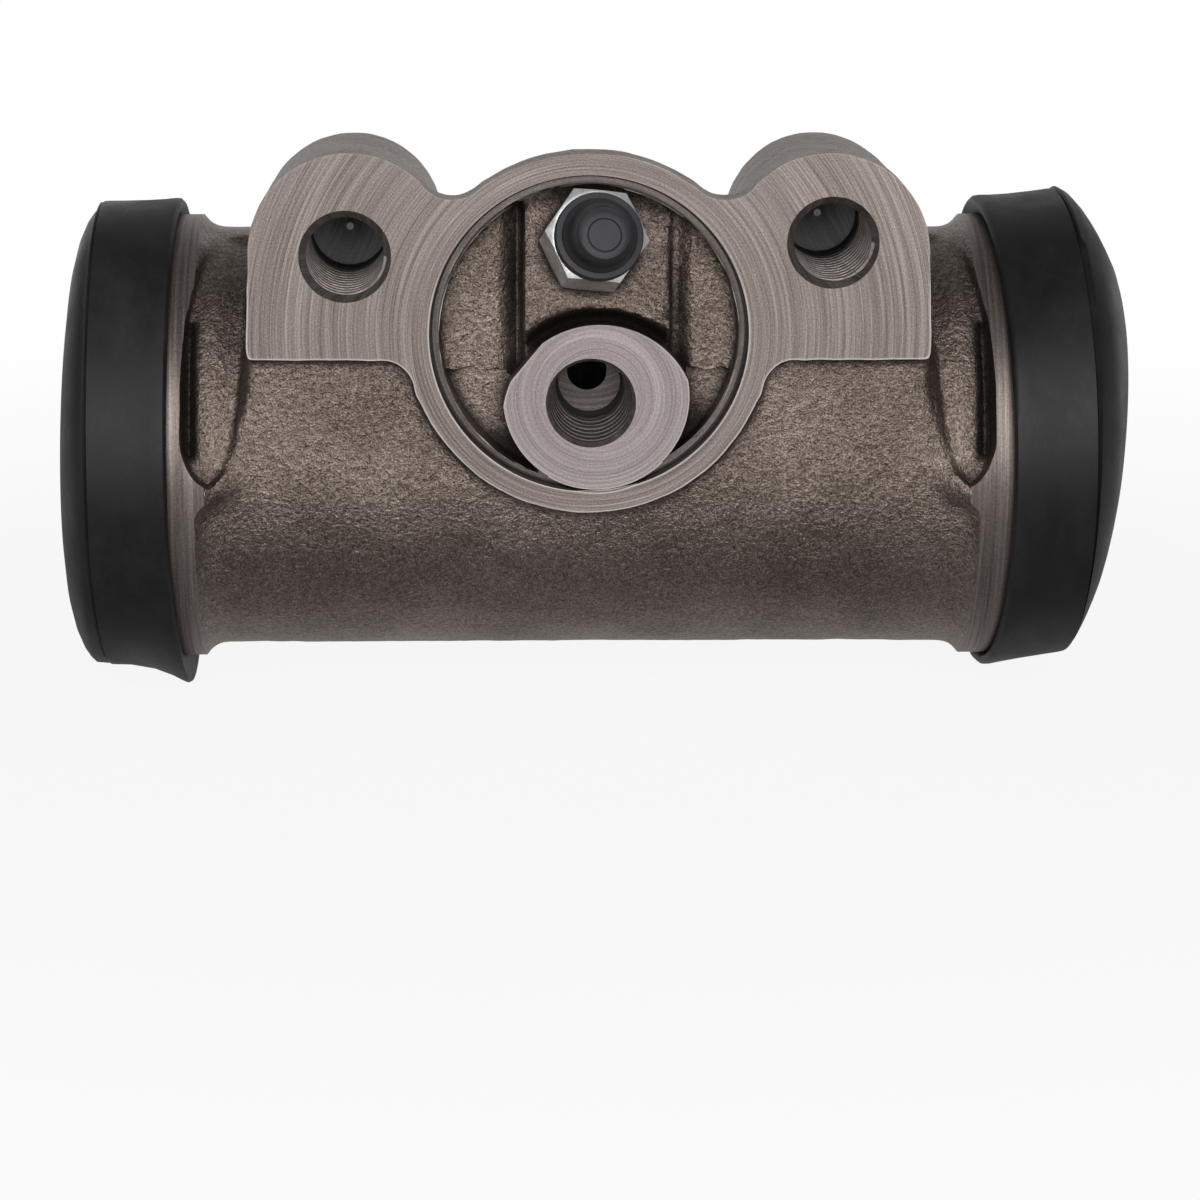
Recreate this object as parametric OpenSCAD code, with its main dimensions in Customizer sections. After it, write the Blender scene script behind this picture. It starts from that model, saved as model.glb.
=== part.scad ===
// Wheel cylinder of a hydraulic drum brake: a cast iron cylinder with two opposed pistons.
// Millimetres. The origin is the centre of the pilot ring on the machined mounting face.
// +X runs along the bore, -Y leaves the mounting face, +Z is up with the bleeder above the inlet.

/* [Bore and tube] */
// Bore diameter, one and a half inches
bore_d = 38.1; // [34:0.1:42]
// Iron wall around the bore
tube_wall = 6.95; // [6:0.05:8]
// Casting length from end face to end face
body_length = 114; // [106:0.5:124]
// Distance of the bore axis behind the mounting face
axis_back = 28; // [27.5:0.1:32]
// Distance of the bore axis below the pilot ring centre
axis_drop = 17.4; // [15:0.1:19]
// Chamfer at each bore mouth
bore_chamfer = 1; // [0.5:0.1:1.5]

/* [End flanges] */
// Width of the turned land that carries a boot
flange_width = 8.5; // [7.5:0.1:10]
// Height of the land over the tube
flange_rise = 1.6; // [1:0.1:2.5]
// Fillet between land and tube
flange_fillet = 2; // [1:0.1:3]
// Width of the boot groove
groove_width = 2.6; // [2:0.1:3]
// Depth of the boot groove
groove_depth = 1.2; // [0.8:0.1:1.6]
// Centre of the groove from the end face
groove_inset = 3.6; // [3:0.1:4.5]

/* [Mounting face] */
// Outside diameter of the pilot ring
ring_d = 43.2; // [42:0.1:46]
// Diameter of the pilot counterbore
pilot_d = 38.1; // [36:0.1:39]
// Depth of the pilot counterbore
pilot_depth = 2.2; // [1.5:0.1:3]
// Width of the ledge inside the counterbore
ledge_width = 1.15; // [0.8:0.05:1.6]
// Depth of the cast recess below the face
recess_depth = 4.5; // [3.5:0.1:5]
// Thickness of the rim at the top of the ring
rim_depth = 5; // [4:0.1:7]
// Depth at which the back of the ring has run into the tube
ring_root = 19; // [18:0.5:22]

/* [Ears] */
// Spacing of the two ear bosses
boss_spacing = 57; // [55:0.1:60]
// Height of the ear bosses over the ring centre
boss_rise = 9.7; // [8:0.1:11]
// Diameter of an ear boss at the face
boss_d = 23.8; // [22:0.1:26]
// Draft taken off the boss radius at its back
boss_draft = 0.9; // [0:0.1:1.2]
// Drop of the ear's lower edge under the ring centre
ear_drop = 3.05; // [2:0.05:4]
// Extra half width of an ear at its lower corner
ear_flare = 0.5; // [0:0.1:1]
// Radius where the lower edge runs into the ring
ear_fillet = 4; // [3:0.1:5]
// Radius of the saddle between boss and ring
saddle_fillet = 4.5; // [3:0.1:5.5]
// Radius of the hollow between ear and end flange
hollow_r = 21.8; // [19:0.1:25]

/* [Mounting holes] */
// Spacing of the two tapped holes, along X
hole_spacing = 57.9; // [56:0.1:60]
// Height of the left hole over the ring centre
left_hole_rise = 9.35; // [8:0.05:11]
// Height of the right hole over the ring centre
right_hole_rise = 10.98; // [9:0.05:12]
// Bore of the tapped holes, seven sixteenths thread
hole_d = 9.5; // [8.5:0.1:10]
// Full-diameter depth of the tapped holes
hole_depth = 22; // [16:0.5:24]
// Depth of the countersink at the mouth
hole_chamfer = 0.75; // [0.4:0.05:1]

/* [Inlet port] */
// Offset of the inlet boss along X
inlet_boss_x = 0.9; // [0:0.1:1.5]
// Drop of the inlet boss under the ring centre
inlet_boss_drop = 7.7; // [7:0.1:8]
// Radius of the inlet boss
inlet_boss_r = 11; // [10:0.1:11.5]
// Radius of the boss's upper edge
inlet_brow_r = 12; // [11.5:0.1:13]
// Height of that edge over the ring centre
inlet_brow_top = 1.4; // [0.8:0.1:1.8]
// Depth of the spot face below the mounting face
inlet_face_depth = 0.6; // [0:0.1:1]
// Offset of the inlet hole along X
inlet_x = 0.26; // [0:0.02:1]
// Drop of the inlet hole under the ring centre
inlet_drop = 8.4; // [7.5:0.1:9]
// Bore of the tapped inlet
inlet_d = 9.6; // [8.5:0.1:10]
// Depth of the tapped inlet from its spot face
inlet_depth = 8; // [6:0.1:8.5]
// Countersink of the inlet
inlet_chamfer = 0.65; // [0.4:0.05:1]
// Passage from the inlet to the bore
passage_d = 5; // [3:0.1:5.5]

/* [Bleeder] */
// Upward pitch of the bleeder
bleeder_pitch = 20; // [16:0.5:24]
// Sideways turn of the bleeder
bleeder_yaw = 6.5; // [0:0.5:8]
// Seat offset along X
bleeder_x = 0.16; // [-1:0.02:1]
// Seat depth behind the mounting face
bleeder_back = 3.6; // [3:0.1:4.2]
// Seat height over the ring centre
bleeder_rise = 10; // [9:0.1:10.5]
// Width of the cast bleeder pad
pad_width = 18.4; // [16:0.1:20]
// Length of the pad below the screw axis
pad_low = 8.1; // [7.5:0.1:8.5]
// Diameter of the screw thread
screw_d = 9.4; // [8.4:0.1:9.8]
// Depth of the tapped bleeder hole
screw_depth = 12.5; // [10:0.1:13.5]
// Passage from the bore to the screw's seat
bleed_d = 1.6; // [1.2:0.1:1.8]
// Hexagon across flats
hex_width = 10.8; // [10:0.1:11.2]
// Height of the hexagon
hex_height = 6.6; // [5:0.1:7.5]
// Diameter of the hose nipple
nipple_d = 5.4; // [5:0.1:5.8]
// Length of the nipple
nipple_length = 6.2; // [5:0.1:7]
// Drilled way through the screw
drilling_d = 2; // [1.6:0.1:2.4]
// Diameter of the cap's brim
cap_brim_d = 10.4; // [9.6:0.1:10.8]
// Thickness of the brim
cap_brim = 1.8; // [1.4:0.1:2.4]
// Diameter of the cap's crown
cap_crown_d = 7.6; // [7.4:0.1:8.4]
// Height of the cap
cap_height = 8; // [7.6:0.1:9.5]

/* [Boots] */
// Rubber wall of a boot
boot_wall = 1.6; // [1.2:0.1:2]
// Gap from the flange's inner edge to the boot rim
boot_set = 1.1; // [0.5:0.1:2]
// Reach of the left boot's wall past the casting's end
left_boot_reach = 3.3; // [3:0.1:5]
// Height of the left boot's dome, pushed flat
left_boot_dome = 4.2; // [4:0.1:6]
// Reach of the right boot's wall past the casting's end
right_boot_reach = 2.9; // [2.6:0.1:4.5]
// Height of the right boot's dome, pulled out
right_boot_dome = 7; // [5.5:0.1:8.5]
// Diameter of the eye for a push pin
eye_d = 13; // [11:0.1:14]
// Length of the eye
eye_length = 3; // [2.4:0.1:4]

/* [Pistons and cups] */
// Distance of a piston's outer face inside the casting's end
piston_set = 7; // [6:0.5:9]
// Piston length
piston_length = 23; // [20:0.5:24]
// Diameter of the push pin socket
socket_d = 14.6; // [14:0.1:16]
// Depth of the socket
socket_depth = 9; // [6:0.1:11]
// Chamfer of the piston
piston_chamfer = 0.8; // [0.4:0.1:1.2]
// Thickness of a cup's base
cup_base = 3.4; // [2.8:0.1:4]
// Length of a cup's lip
cup_lip = 5.1; // [4:0.1:6]
// Thickness of the lip at its edge
lip_edge = 2.6; // [2:0.1:3]
// Sheet thickness of a cup expander
expander_sheet = 1; // [0.8:0.1:1.2]

/* [Spring] */
// Outside diameter of the spring
spring_d = 22; // [19:0.1:23]
// Wire diameter
wire_d = 1.7; // [1.4:0.1:2]
// Number of coils
coils = 6; // [5:1:7]

/* [Fits] */
// Radial clearance of pistons, cups and bore
piston_clearance = 0.05; // [0.03:0.01:0.08]
// Radial clearance of the bleeder thread
thread_clearance = 0.06; // [0.04:0.01:0.09]
// Radial clearance of cap and nipple
cap_clearance = 0.05; // [0.03:0.01:0.08]
// Gap under the bleeder hexagon
hex_gap = 0.4; // [0.2:0.1:0.6]
// Gap of the screw's tip over its seat
seat_gap = 0.15; // [0.1:0.05:0.3]

/* [Hidden] */
$fn = 96;

bore_r = bore_d / 2;
tube_r = bore_r + tube_wall;
half = body_length / 2;
flange_r = tube_r + flange_rise;
flange_in = half - flange_width;
groove_r = flange_r - groove_depth;
groove_x = half - groove_inset;
ring_r = ring_d / 2;
pilot_r = pilot_d / 2;
recess_r = pilot_r - ledge_width;
boss_r = boss_d / 2;
boss_x = boss_spacing / 2;
block_front = axis_back - tube_r;
ear_out = boss_x + boss_r + ear_flare;
ear_in = boss_x - boss_r + boss_draft;
boss_at = [boss_x, boss_rise];
hole_r = hole_d / 2;
inlet_r = inlet_d / 2;
screw_r = screw_d / 2;
shank_r = screw_r - thread_clearance;
drill_slope = 0.6;
drill_web = 0.6;
pad_body = 2 * recess_depth;
seat_r = drilling_d / 2 + 0.4;
seat_drop = (screw_r - seat_r) * drill_slope;
run_r = bore_r - piston_clearance;
piston_outer = half - piston_set;
piston_inner = piston_outer - piston_length;
cup_floor = piston_inner - cup_base;
cup_edge = cup_floor - cup_lip;
lip_root = lip_edge + 1.4;
spring_seat = cup_floor - expander_sheet;
coil_r = (spring_d - wire_d) / 2;
pitch = (2 * spring_seat - wire_d) / coils;
nipple_r = nipple_d / 2;
cavity_r = nipple_r + cap_clearance;
boot_r = flange_r + boot_wall;
boot_rim = flange_in + boot_set;
eye_r = eye_d / 2;
ring_taper = 8.5;
pad_root = recess_depth + 3;

// Dome of a boot from its edge inwards, as shares of the boot's radius and of the dome's height
dome_line = [[0.95, 0.3], [0.86, 0.52], [0.73, 0.74], [0.58, 0.9], [0.42, 0.98]];

// Centre of a circle of radius r that touches the ring and an ear boss from outside, above the saddle
saddle_a = ring_r + saddle_fillet;
saddle_b = boss_r + saddle_fillet;
saddle_c = norm(boss_at);
saddle_u = (saddle_a * saddle_a - saddle_b * saddle_b + saddle_c * saddle_c) / (2 * saddle_c);
saddle_v = sqrt(saddle_a * saddle_a - saddle_u * saddle_u);
saddle_at = [
    (saddle_u * boss_at[0] - saddle_v * boss_at[1]) / saddle_c,
    (saddle_u * boss_at[1] + saddle_v * boss_at[0]) / saddle_c
];
toe_z = -ear_drop - ear_fillet;
toe_x = sqrt((ring_r + ear_fillet) * (ring_r + ear_fillet) - toe_z * toe_z);

// Bottom of the bleeder hole, seen along the bore from its axis
seat_run = screw_depth + seat_drop;
seat_y = bleeder_back + cos(bleeder_yaw) * cos(bleeder_pitch) * seat_run - axis_back;
seat_z = bleeder_rise - sin(bleeder_pitch) * seat_run + axis_drop;
seat_x = bleeder_x - sin(bleeder_yaw) * cos(bleeder_pitch) * seat_run;

// Places a shape that is revolved about Z on the bore axis, with Z along +X
module on_bore() {
    translate([0, axis_back, -axis_drop])
        rotate([0, 90, 0])
            children();
}

// Prism of a shape drawn in the mounting face, from depth a to depth b
module slab(a, b) {
    translate([0, b, 0])
        rotate([90, 0, 0])
            linear_extrude(b - a)
                children();
}

// Places a shape at a point of the mounting face, with Z leaving the face
module on_face(x, depth, z) {
    translate([x, depth, z])
        rotate([90, 0, 0])
            children();
}

// Places a shape on the bleeder seat, with Z leaving the seat
module on_bleeder() {
    translate([bleeder_x, bleeder_back, bleeder_rise])
        rotate([90 - bleeder_pitch, 0, bleeder_yaw])
            children();
}

// Fillets between one ear and the ring
module ear_blends() {
    difference() {
        polygon([[0, 0], boss_at, saddle_at]);
        translate(saddle_at)
            circle(saddle_fillet);
    }
    difference() {
        polygon([[0, -ear_drop], [0, toe_z], [toe_x, toe_z], [toe_x, -ear_drop]]);
        translate([toe_x, toe_z])
            circle(ear_fillet);
        polygon([[0, toe_z - 1], [ring_r * toe_x / (ring_r + ear_fillet), toe_z - 1],
            [ring_r * toe_x / (ring_r + ear_fillet), ring_r * toe_z / (ring_r + ear_fillet)], [0, toe_z]]);
    }
}

// Tube with the two turned end lands, drawn as radius and place along the bore
module tube_solid() {
    on_bore()
        rotate_extrude()
            polygon([
                [0, -half], [flange_r, -half], [flange_r, -flange_in],
                for (a = [90 : -15 : 0])
                    [tube_r + flange_rise * (1 - cos(a)), -flange_in + flange_fillet * (1 - sin(a))],
                for (a = [0 : 15 : 90])
                    [tube_r + flange_rise * (1 - cos(a)), flange_in - flange_fillet * (1 - sin(a))],
                [flange_r, flange_in], [flange_r, half], [0, half]
            ]);
}

// One ear on the right with the block that carries it
module ear_solid() {
    slab(0, axis_back)
        polygon([
            [ear_in, -ear_drop], [ear_out, -ear_drop],
            [boss_x + boss_r - boss_draft, boss_rise], [ear_in, boss_rise]
        ]);
    on_face(boss_x, axis_back, boss_rise)
        cylinder(r1 = boss_r - boss_draft, r2 = boss_r, h = axis_back);
    slab(0, rim_depth)
        ear_blends();
    slab(block_front, axis_back)
        difference() {
            polygon([
                [0, -axis_drop - 1], [flange_in - flange_fillet, -axis_drop - 1],
                [flange_in - flange_fillet, -ear_drop], [0, -ear_drop]
            ]);
            translate([ear_out + hollow_r, -ear_drop - 2])
                circle(hollow_r);
        }
}

// Ring whose back runs into the tube
module ring_solid() {
    on_face(0, 0, 0)
        rotate_extrude()
            polygon([
                [0, 0], [ring_r, 0], [ring_r, -rim_depth], [ring_r - ring_taper, -ring_root], [0, -ring_root]
            ]);
}

// Tapped hole in the face of an ear
module mounting_hole(x, z) {
    on_face(x, 0, z)
        rotate_extrude()
            polygon([
                [0, 1], [hole_r + hole_chamfer, 1], [hole_r + hole_chamfer, 0], [hole_r, -hole_chamfer],
                [hole_r, -hole_depth], [drill_web, -hole_depth - (hole_r - drill_web) * drill_slope],
                [0, -hole_depth - (hole_r - drill_web) * drill_slope]
            ]);
}

// Raised inlet boss and bleeder pad in the recess
module recess_bosses() {
    slab(inlet_face_depth, recess_depth + 1)
        intersection() {
            translate([inlet_boss_x, -inlet_boss_drop])
                circle(inlet_boss_r);
            translate([inlet_boss_x, inlet_brow_top - inlet_brow_r])
                circle(inlet_brow_r);
        }
    intersection() {
        on_bleeder()
            translate([-pad_width / 2, -pad_low, -pad_body])
                cube([pad_width, pad_low + pilot_r, pad_body]);
        slab(0, pad_root)
            circle(recess_r);
    }
}

module cylinder_body() {
    color("dimgray")
        difference() {
            union() {
                difference() {
                    union() {
                        tube_solid();
                        ear_solid();
                        mirror([1, 0, 0])
                            ear_solid();
                        ring_solid();
                    }
                    slab(-1, pilot_depth)
                        circle(pilot_r);
                    slab(-1, recess_depth)
                        circle(recess_r);
                    intersection() {
                        on_bleeder()
                            translate([-pad_width / 2, -pad_low, 0])
                                cube([pad_width, pad_low + pilot_r, pad_body]);
                        slab(-1, pad_root)
                            circle(recess_r);
                    }
                }
                recess_bosses();
            }
            mounting_hole(-hole_spacing / 2, left_hole_rise);
            mounting_hole(hole_spacing / 2, right_hole_rise);
            on_face(inlet_x, inlet_face_depth, -inlet_drop)
                rotate_extrude()
                    polygon([
                        [0, 1], [inlet_r + inlet_chamfer, 1], [inlet_r + inlet_chamfer, 0],
                        [inlet_r, -inlet_chamfer], [inlet_r, -inlet_depth], [0, -inlet_depth]
                    ]);
            on_face(inlet_x, axis_back, -inlet_drop)
                cylinder(d = passage_d, h = axis_back - inlet_face_depth - 1);
            on_bleeder()
                rotate_extrude()
                    polygon([
                        [0, 1], [screw_r, 1], [screw_r, -screw_depth],
                        [seat_r, -screw_depth - seat_drop], [0, -screw_depth - seat_drop]
                    ]);
            translate([seat_x, axis_back, -axis_drop])
                rotate([atan2(-seat_y, seat_z), 0, 0])
                    cylinder(d = bleed_d, h = norm([seat_y, seat_z]) + 1);
            on_bore()
                rotate_extrude()
                    polygon([
                        [0, -half - 1], [bore_r + bore_chamfer, -half - 1], [bore_r + bore_chamfer, -half],
                        [bore_r, -half + bore_chamfer], [bore_r, half - bore_chamfer],
                        [bore_r + bore_chamfer, half], [bore_r + bore_chamfer, half + 1], [0, half + 1]
                    ]);
            for (side = [-1, 1])
                on_bore()
                    translate([0, 0, side * groove_x - groove_width / 2])
                        difference() {
                            cylinder(r = flange_r + 1, h = groove_width);
                            cylinder(r = groove_r, h = groove_width);
                        }
        }
}

// Boot on the right, of the given reach and dome: radius and place along the bore
module boot(reach, dome) {
    edge = half + reach;
    top = edge + dome;
    on_bore()
        rotate_extrude()
            polygon([
                [flange_r, boot_rim], [boot_r - 0.5, boot_rim],
                [boot_r, boot_rim + 1], [boot_r, edge - 0.6], [boot_r - 0.6, edge],
                for (p = dome_line)
                    [p[0] * boot_r, edge + p[1] * dome],
                [eye_r + 2, top], [eye_r, top], [eye_r, top - eye_length], [eye_r + 2, top - eye_length],
                for (i = [len(dome_line) - 1 : -1 : 1])
                    [dome_line[i][0] * boot_r - 0.5, edge + dome_line[i][1] * dome - boot_wall],
                [boot_r - boot_wall - 1, edge - boot_wall], [boot_r - boot_wall - 0.6, half + 0.4],
                [boot_r - boot_wall, half], [flange_r, groove_x + groove_width / 2],
                [groove_r, groove_x + groove_width / 2], [groove_r, groove_x - groove_width / 2],
                [flange_r, groove_x - groove_width / 2]
            ]);
}

module left_boot() {
    color("black")
        mirror([1, 0, 0])
            boot(left_boot_reach, left_boot_dome);
}

module right_boot() {
    color("black")
        boot(right_boot_reach, right_boot_dome);
}

// Piston on the right with its push pin socket
module piston() {
    on_bore()
        rotate_extrude()
            polygon([
                [0, piston_inner], [run_r - piston_chamfer, piston_inner],
                [run_r, piston_inner + piston_chamfer],
                [run_r, piston_outer - piston_chamfer], [run_r - piston_chamfer, piston_outer],
                [socket_d / 2 + piston_chamfer, piston_outer], [socket_d / 2, piston_outer - piston_chamfer],
                [socket_d / 2, piston_outer - socket_depth], [0, piston_outer - socket_depth - 1.5]
            ]);
}

module left_piston() {
    color("silver")
        mirror([1, 0, 0])
            piston();
}

module right_piston() {
    color("silver")
        piston();
}

// Rubber cup on the right, open towards the middle
module cup() {
    on_bore()
        rotate_extrude()
            polygon([
                [0, piston_inner], [run_r - 0.6, piston_inner], [run_r - 0.3, cup_floor],
                [run_r, cup_edge + 0.8], [run_r - 0.6, cup_edge], [run_r - lip_edge, cup_edge],
                [run_r - lip_root, cup_floor], [0, cup_floor]
            ]);
}

module left_cup() {
    color("dimgray")
        mirror([1, 0, 0])
            cup();
}

module right_cup() {
    color("dimgray")
        cup();
}

// Sheet expander on the right that holds the lip out and seats the spring
module expander() {
    on_bore()
        rotate_extrude()
            polygon([
                [0, cup_floor], [run_r - lip_root - 0.2, cup_floor], [run_r - lip_edge - 0.2, cup_edge],
                [run_r - lip_edge - 0.2 - expander_sheet, cup_edge],
                [run_r - lip_root - 0.2 - expander_sheet, spring_seat], [0, spring_seat]
            ]);
}

module left_cup_expander() {
    color("silver")
        mirror([1, 0, 0])
            expander();
}

module right_cup_expander() {
    color("silver")
        expander();
}

// Coil spring whose section across the bore is a bent oval, so that the wire is round along the bore
module return_spring() {
    color("silver")
        on_bore()
            translate([0, 0, -spring_seat + wire_d / 2])
                linear_extrude(2 * spring_seat - wire_d, twist = -360 * coils, slices = 30 * coils, $fn = 12)
                    polygon([
                        for (t = [0 : 30 : 330])
                            (coil_r + wire_d / 2 * sin(t))
                                * [cos(180 * wire_d / pitch * cos(t)), sin(180 * wire_d / pitch * cos(t))]
                    ]);
}

module bleeder_screw() {
    color("gainsboro")
        on_bleeder()
            difference() {
                union() {
                    translate([0, 0, hex_gap])
                        cylinder(r = hex_width / sqrt(3), h = hex_height, $fn = 6);
                    rotate_extrude()
                        polygon([
                            [0, hex_gap + 1], [shank_r, hex_gap + 1], [shank_r, -screw_depth + seat_gap],
                            [seat_r, -screw_depth - seat_drop + seat_gap],
                            [0, -screw_depth - seat_drop + seat_gap]
                        ]);
                    translate([0, 0, hex_gap + hex_height - 1])
                        cylinder(r = nipple_r, h = nipple_length + 1);
                }
                translate([0, 0, -screw_depth / 2])
                    cylinder(d = drilling_d, h = screw_depth + hex_height + nipple_length + 2);
                translate([-screw_d, 0, -screw_depth / 2])
                    rotate([0, 90, 0])
                        cylinder(d = drilling_d, h = 2 * screw_d);
            }
}

// Rubber dust cap with a brim, a waist and a ringed crown
module bleeder_cap() {
    color("black")
        on_bleeder()
            translate([0, 0, hex_gap + hex_height])
                rotate_extrude()
                    polygon([
                        [cavity_r, 0], [cap_brim_d / 2, 0], [cap_brim_d / 2, cap_brim],
                        [cap_crown_d / 2 - 0.3, cap_brim + 0.6], [cap_crown_d / 2, cap_height - 0.6],
                        [cap_crown_d / 2 - 0.6, cap_height], [cap_crown_d / 2 - 1.6, cap_height],
                        [cap_crown_d / 2 - 1.9, cap_height - 0.5], [cap_crown_d / 2 - 2.2, cap_height],
                        [0, cap_height], [0, nipple_length + 0.3], [cavity_r, nipple_length + 0.3]
                    ]);
}

cylinder_body();
left_boot();
right_boot();
left_piston();
right_piston();
left_cup();
right_cup();
left_cup_expander();
right_cup_expander();
return_spring();
bleeder_screw();
bleeder_cap();
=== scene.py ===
import math

import bpy
from mathutils import Matrix, Vector


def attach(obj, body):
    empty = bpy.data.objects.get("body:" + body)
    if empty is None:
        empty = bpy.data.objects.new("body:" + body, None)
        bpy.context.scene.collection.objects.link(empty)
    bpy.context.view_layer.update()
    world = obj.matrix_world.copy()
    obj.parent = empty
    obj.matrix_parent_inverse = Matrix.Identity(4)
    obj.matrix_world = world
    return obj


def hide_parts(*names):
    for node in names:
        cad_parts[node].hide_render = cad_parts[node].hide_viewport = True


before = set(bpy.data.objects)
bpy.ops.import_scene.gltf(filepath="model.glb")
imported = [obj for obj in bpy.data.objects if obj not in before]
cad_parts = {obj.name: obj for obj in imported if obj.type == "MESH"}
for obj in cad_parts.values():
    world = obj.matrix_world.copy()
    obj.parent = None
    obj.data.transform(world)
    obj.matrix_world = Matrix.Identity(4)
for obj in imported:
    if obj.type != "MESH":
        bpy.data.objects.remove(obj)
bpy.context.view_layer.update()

# Casting
# The cylinder itself is one piece of grey iron, poured in a sand mould that parts along the bore axis.
# Its mounting face is milled, its end lands are turned, and bore, ports and bolt holes are drilled.
mm = 0.001
axis_y = 28.0
axis_z = -17.4
half_length = 57.0
bore_r = 19.05
tube_r = 26.0
land_r = 27.6
ring_r = 21.65
pilot_r = 19.05
ledge_r = 17.9
ledge_y = 2.2
floor_y = 4.5
boss_x = 28.5
boss_z = 9.7
boss_r = 11.95
ear_low = -3.05
ear_out = 40.9
web_y = 2.1
toe_r = 4.0
inlet_x = 0.9
inlet_z = -7.7
spot_y = 0.6
spot_r = 11.2


def pick(*pieces):
    bpy.ops.object.select_all(action="DESELECT")
    for piece in pieces:
        piece.select_set(True)
    bpy.context.view_layer.objects.active = pieces[0]


def bar(start, end, radius, far_radius=None, sides=96):
    """A round bar or cone between two points, in millimetres."""
    near, far = Vector(start) * mm, Vector(end) * mm
    bpy.ops.object.select_all(action="DESELECT")
    bpy.ops.mesh.primitive_cone_add(
        vertices=sides, radius1=radius * mm, radius2=(radius if far_radius is None else far_radius) * mm,
        depth=(far - near).length, location=(near + far) / 2,
        rotation=(far - near).to_track_quat("Z", "Y").to_euler())
    bpy.ops.object.transform_apply(location=True, rotation=True, scale=True)
    return bpy.context.object


def block(low, high):
    """A square block between two corners, in millimetres."""
    low, high = Vector(low) * mm, Vector(high) * mm
    bpy.ops.object.select_all(action="DESELECT")
    bpy.ops.mesh.primitive_cube_add(size=1, location=(low + high) / 2, scale=high - low)
    bpy.ops.object.transform_apply(location=True, rotation=True, scale=True)
    return bpy.context.object


def prism(outline, near, far):
    """A flat outline of (x, z) points in millimetres, made solid from one depth to another."""
    bpy.ops.object.select_all(action="DESELECT")
    bpy.ops.mesh.primitive_circle_add(vertices=len(outline), radius=mm, fill_type="NGON")
    piece = bpy.context.object
    for point, (x, z) in zip(piece.data.vertices, outline):
        point.co = Vector((x, near, z)) * mm
    bpy.ops.object.mode_set(mode="EDIT")
    bpy.ops.mesh.select_all(action="SELECT")
    bpy.ops.mesh.extrude_region_move(TRANSFORM_OT_translate={"value": (0, (far - near) * mm, 0)})
    bpy.ops.mesh.select_all(action="SELECT")
    bpy.ops.mesh.normals_make_consistent(inside=False)
    bpy.ops.object.mode_set(mode="OBJECT")
    return piece


def spun(outline, sides=96):
    """A profile of (radius, height) points in millimetres, closed on itself and spun about the Z axis."""
    bpy.ops.object.select_all(action="DESELECT")
    bpy.ops.mesh.primitive_plane_add(size=mm)
    bpy.ops.object.mode_set(mode="EDIT")
    bpy.ops.mesh.select_all(action="SELECT")
    bpy.ops.mesh.merge(type="CENTER")
    here = Vector((0, 0, 0))
    for number, (radius, height) in enumerate(list(outline) + [outline[0]]):
        there = Vector((radius, 0, height)) * mm
        step = {"value": there - here}
        if number:
            bpy.ops.mesh.extrude_region_move(TRANSFORM_OT_translate=step)
        else:
            bpy.ops.transform.translate(**step)
        here = there
    bpy.ops.mesh.select_all(action="SELECT")
    bpy.ops.mesh.remove_doubles(threshold=1e-6)
    bpy.ops.mesh.spin(steps=sides, angle=2 * math.pi, center=(0, 0, 0), axis=(0, 0, 1))
    bpy.ops.mesh.select_all(action="SELECT")
    bpy.ops.mesh.remove_doubles(threshold=1e-6)
    bpy.ops.mesh.normals_make_consistent(inside=False)
    bpy.ops.object.mode_set(mode="OBJECT")
    return bpy.context.object


def on_bore(piece, side):
    """Turns a spun piece so that its height runs along the bore, to the right or to the left."""
    turned = Matrix.Rotation(side * math.pi / 2, 4, "Y")
    piece.data.transform(Matrix.Translation(Vector((0, axis_y, axis_z)) * mm) @ turned)
    return piece


def weld(pieces):
    pick(*pieces)
    bpy.ops.object.join()
    return bpy.context.object


def apply_modifier(piece, kind, **settings):
    pick(piece)
    step = piece.modifiers.new("step", kind)
    for name, value in settings.items():
        setattr(step, name, value)
    bpy.ops.object.modifier_apply(modifier=step.name)


def combine(piece, tool, operation="DIFFERENCE"):
    apply_modifier(
        piece, "BOOLEAN", operation=operation, object=tool, solver="MANIFOLD", material_mode="TRANSFER")
    bpy.data.objects.remove(tool, do_unlink=True)


def give(piece, material):
    piece.data.materials.clear()
    piece.data.materials.append(material)
    return piece


def new_material(name):
    material = bpy.data.materials.new(name)
    material.use_nodes = True
    tree = material.node_tree
    return material, tree, tree.nodes["Principled BSDF"]


def new_group(name, inputs, outputs):
    group = bpy.data.node_groups.new(name, "ShaderNodeTree")
    for label, kind in inputs:
        group.interface.new_socket(label, in_out="INPUT", socket_type=kind)
    for label in outputs:
        group.interface.new_socket(label, in_out="OUTPUT", socket_type="NodeSocketFloat")
    return group, group.nodes.new("NodeGroupInput").outputs, group.nodes.new("NodeGroupOutput").inputs


def noise(tree, place, scale, detail=2.0, rough=0.5, distortion=0.0):
    node = tree.nodes.new("ShaderNodeTexNoise")
    node.inputs["Scale"].default_value = scale
    node.inputs["Detail"].default_value = detail
    node.inputs["Roughness"].default_value = rough
    node.inputs["Distortion"].default_value = distortion
    tree.links.new(place, node.inputs["Vector"])
    return node.outputs["Fac"]


def calc(tree, operation, *values, clamp=False):
    node = tree.nodes.new("ShaderNodeMath")
    node.operation = operation
    node.use_clamp = clamp
    for socket, value in zip(node.inputs, values):
        if isinstance(value, (int, float)):
            socket.default_value = value
        else:
            tree.links.new(value, socket)
    return node.outputs[0]


def mix_sum(tree, *shares):
    """The sum of some values, each with its share."""
    total = calc(tree, "MULTIPLY", *shares[0])
    for value, share in shares[1:]:
        total = calc(tree, "MULTIPLY_ADD", value, share, total)
    return total


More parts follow.
